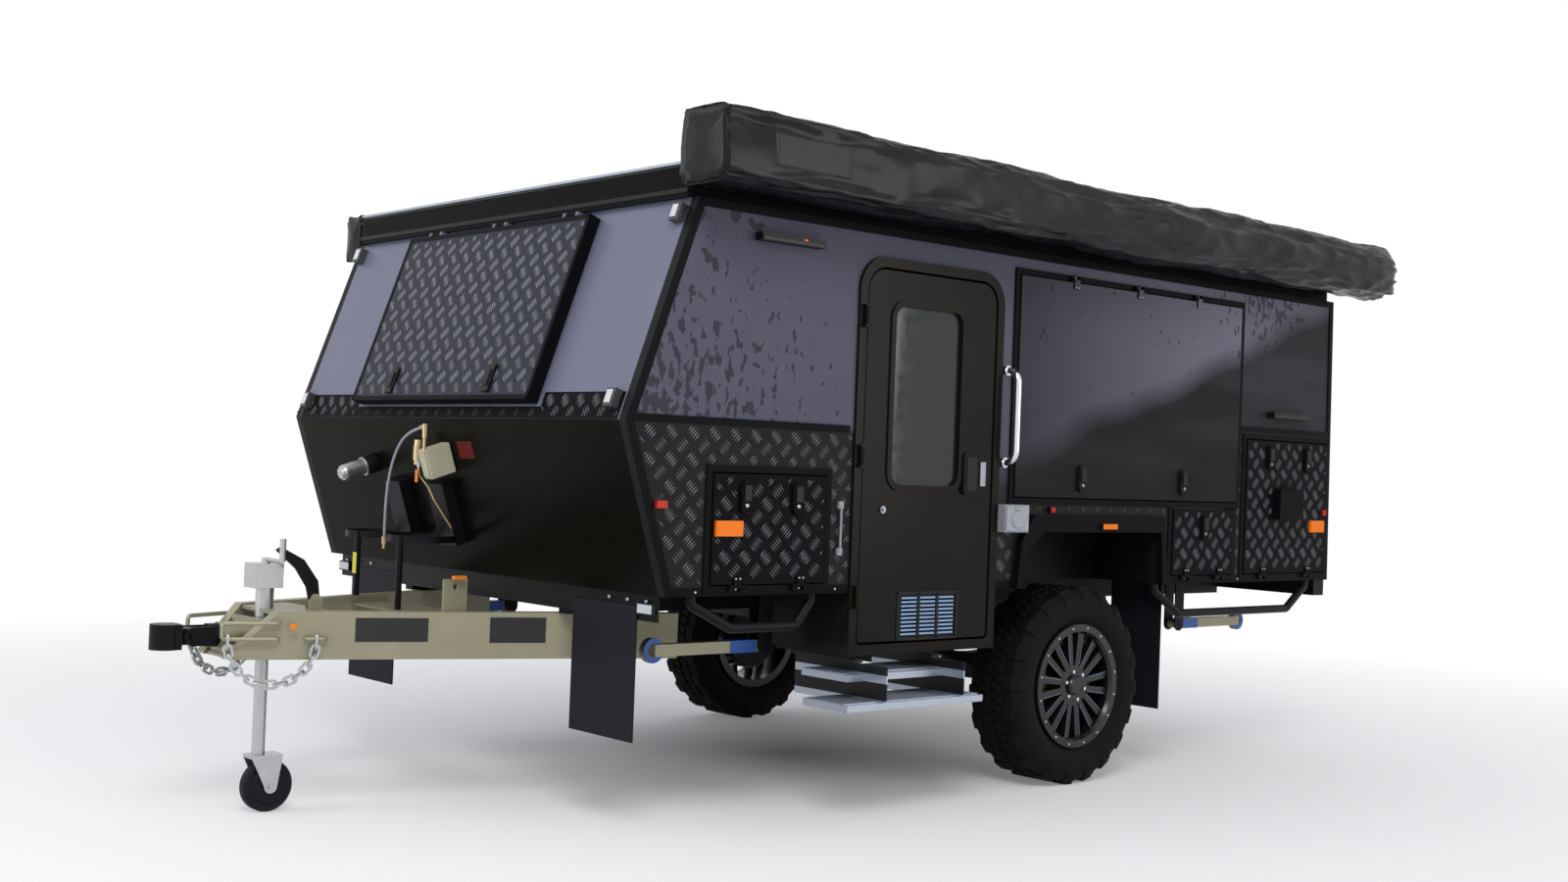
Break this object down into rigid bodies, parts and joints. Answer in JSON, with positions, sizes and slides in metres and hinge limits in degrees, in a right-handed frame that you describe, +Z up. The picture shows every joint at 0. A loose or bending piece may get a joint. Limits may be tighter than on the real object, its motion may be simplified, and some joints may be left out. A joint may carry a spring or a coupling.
{
  "type": "hybrid camper trailer",
  "caption": "Hybrid camper trailer with wedge nose, lifting roof, galley hatch, lockers and a drop-in entry door, on a drawbar with pin coupling and jockey wheel.",
  "frame": {"origin": "mouth of the coupling's pin bore, on the trailer's centre line, 545 mm above the ground", "axes": "+X forward along the drawbar, +Y to the door side, +Z up"},
  "size_m": [5.221, 2.625, 2.297],
  "materials": {
    "awning_vinyl": "coated",
    "black_alloy": "gloss",
    "black_steel": "satin",
    "black_trim": "satin",
    "bright_chrome": "polished",
    "dark_composite": "satin",
    "dark_glass": "tinted",
    "door_plastic": "gloss",
    "fitting_plastic": "satin",
    "flap_rubber": "matt",
    "furniture_board": "satin",
    "galvanised": "galvanised",
    "gas_metal": "cast",
    "hose_rubber": "matt",
    "lamp_lens": "gloss",
    "solar_glass": "gloss",
    "step_aluminium": "ribbed",
    "tank_plastic": "matt",
    "tread_plate": "black tread plate",
    "tyre_rubber": "matt",
    "zinc_chain": "zinc"
  },
  "bodies": {
    "chassis": {"axle_beam": "black_steel", "chassis_rails": "black_steel", "door_frame": "door_plastic", "drawbar_left": "galvanised", "drawbar_right": "galvanised", "entry_well": "black_trim", "floor_pan": "black_trim", "front_lower_wall": "dark_composite", "front_upper_wall": "dark_composite", "furniture": "furniture_board", "gas_fittings": "gas_metal", "gas_hose": "hose_rubber", "gas_rings": "black_steel", "grab_handle": "bright_chrome", "guard_bars": "black_steel", "jockey_sleeve": "galvanised", "lamps": "lamp_lens", "leaf_springs": "black_steel", "left_trims": "black_trim", "left_wall": "dark_composite", "mudflaps": "flap_rubber", "nose_housing": "galvanised", "rear_carrier": "black_steel", "rear_wall": "dark_composite", "right_trims": "black_trim", "right_wall": "dark_composite", "safety_chains": "zinc_chain", "spare_rim": "black_alloy", "spare_tyre": "tyre_rubber", "wall_fittings": "fitting_plastic", "water_tanks": "tank_plastic", "windows": "dark_glass"},
    "wheel_left": {"left_tyre": "tyre_rubber", "left_rim": "black_alloy"},
    "wheel_right": {"right_tyre": "tyre_rubber", "right_rim": "black_alloy"},
    "coupling_swivel_body": {"coupling_swivel": "black_steel"},
    "coupling_head_body": {"coupling_head": "black_steel"},
    "brake_lever_body": {"brake_lever": "black_steel"},
    "jockey_leg_body": {"jockey_leg": "galvanised"},
    "jockey_fork_body": {"jockey_fork": "galvanised"},
    "jockey_wheel_body": {"jockey_wheel": "flap_rubber"},
    "door_body": {"entry_door": "door_plastic", "door_glass": "dark_glass"},
    "galley_hatch_body": {"galley_hatch": "dark_composite"},
    "window_cover_body": {"window_cover": "tread_plate"},
    "front_locker_left_body": {"front_locker_left": "tread_plate"},
    "front_locker_right_body": {"front_locker_right": "tread_plate"},
    "fridge_hatch_body": {"fridge_hatch": "tread_plate"},
    "rear_locker_left_body": {"rear_locker_left": "tread_plate"},
    "rear_locker_right_body": {"rear_locker_right": "tread_plate"},
    "roof_body": {"roof_shell": "dark_composite", "solar_panels": "solar_glass", "awning_bags": "awning_vinyl"},
    "step_body": {"entry_step": "step_aluminium"},
    "steady_front_left_body": {"steady_front_left": "galvanised"},
    "steady_front_right_body": {"steady_front_right": "galvanised"},
    "steady_rear_left_body": {"steady_rear_left": "galvanised"},
    "steady_rear_right_body": {"steady_rear_right": "galvanised"}
  },
  "joints": [
    {"name": "wheel_left_spin", "type": "hinge", "parent": "chassis", "child": "wheel_left", "pos_m": [-3.19, 0.9635, -0.161], "axis": [0, 1, 0], "continuous": true},
    {"name": "wheel_right_spin", "type": "hinge", "parent": "chassis", "child": "wheel_right", "pos_m": [-3.19, -0.9635, -0.161], "axis": [0, 1, 0], "continuous": true},
    {"name": "coupling_roll", "type": "hinge", "parent": "chassis", "child": "coupling_swivel_body", "pos_m": [-0.23, 0, 0.04], "axis": [1, 0, 0], "continuous": true},
    {"name": "coupling_pitch", "type": "hinge", "parent": "coupling_swivel_body", "child": "coupling_head_body", "pos_m": [-0.078, 0, 0.04], "axis": [0, 1, 0], "range_deg": [-40, 40]},
    {"name": "brake_lever_pivot", "type": "hinge", "parent": "chassis", "child": "brake_lever_body", "pos_m": [-0.465, 0.078, 0.155], "axis": [0, 1, 0], "range_deg": [0, 28]},
    {"name": "jockey_wind", "type": "slide", "parent": "chassis", "child": "jockey_leg_body", "axis": [0, 0, 1], "range_m": [0, 0.22]},
    {"name": "jockey_swivel", "type": "hinge", "parent": "jockey_leg_body", "child": "jockey_fork_body", "pos_m": [-0.328, 0, -0.365], "axis": [0, 0, 1], "continuous": true},
    {"name": "jockey_wheel_spin", "type": "hinge", "parent": "jockey_fork_body", "child": "jockey_wheel_body", "pos_m": [-0.36, 0, -0.46], "axis": [0, 1, 0], "continuous": true},
    {"name": "entry_door_hinge", "type": "hinge", "parent": "chassis", "child": "door_body", "pos_m": [-1.93, 1.132, 0.695], "axis": [0, 0, -1], "range_deg": [0, 90]},
    {"name": "galley_hatch_hinge", "type": "hinge", "parent": "chassis", "child": "galley_hatch_body", "pos_m": [-3.44, 1.126, 1.4025], "axis": [1, 0, 0], "range_deg": [0, 85]},
    {"name": "window_cover_hinge", "type": "hinge", "parent": "chassis", "child": "window_cover_body", "pos_m": [-1.16877, 0, 1.47747], "axis": [0, -1, 0], "range_deg": [0, 75]},
    {"name": "front_locker_left_hinge", "type": "hinge", "parent": "chassis", "child": "front_locker_left_body", "pos_m": [-1.537, 1.126, 0.2595], "axis": [-1, 0, 0], "range_deg": [0, 90]},
    {"name": "front_locker_right_hinge", "type": "hinge", "parent": "chassis", "child": "front_locker_right_body", "pos_m": [-1.537, -1.126, 0.2595], "axis": [1, 0, 0], "range_deg": [0, 90]},
    {"name": "fridge_hatch_hinge", "type": "hinge", "parent": "chassis", "child": "fridge_hatch_body", "pos_m": [-3.9255, 1.126, 0.2595], "axis": [-1, 0, 0], "range_deg": [0, 90]},
    {"name": "rear_locker_left_hinge", "type": "hinge", "parent": "chassis", "child": "rear_locker_left_body", "pos_m": [-4.5375, 1.126, 0.2595], "axis": [-1, 0, 0], "range_deg": [0, 90]},
    {"name": "rear_locker_right_hinge", "type": "hinge", "parent": "chassis", "child": "rear_locker_right_body", "pos_m": [-4.5375, -1.126, 0.2595], "axis": [1, 0, 0], "range_deg": [0, 90]},
    {"name": "roof_lift", "type": "slide", "parent": "chassis", "child": "roof_body", "axis": [0, 0, 1], "range_m": [0, 0.45]},
    {"name": "step_slide", "type": "slide", "parent": "chassis", "child": "step_body", "axis": [0, -1, 0], "range_m": [0, 0.3]},
    {"name": "steady_front_left_pivot", "type": "hinge", "parent": "chassis", "child": "steady_front_left_body", "pos_m": [-1.779, 0.81, 0.027], "axis": [0, 1, 0], "range_deg": [0, 75]},
    {"name": "steady_front_right_pivot", "type": "hinge", "parent": "chassis", "child": "steady_front_right_body", "pos_m": [-1.779, -0.81, 0.027], "axis": [0, 1, 0], "range_deg": [0, 75]},
    {"name": "steady_rear_left_pivot", "type": "hinge", "parent": "chassis", "child": "steady_rear_left_body", "pos_m": [-4.17, 0.81, 0.027], "axis": [0, -1, 0], "range_deg": [0, 75]},
    {"name": "steady_rear_right_pivot", "type": "hinge", "parent": "chassis", "child": "steady_rear_right_body", "pos_m": [-4.17, -0.81, 0.027], "axis": [0, -1, 0], "range_deg": [0, 75]}
  ]
}
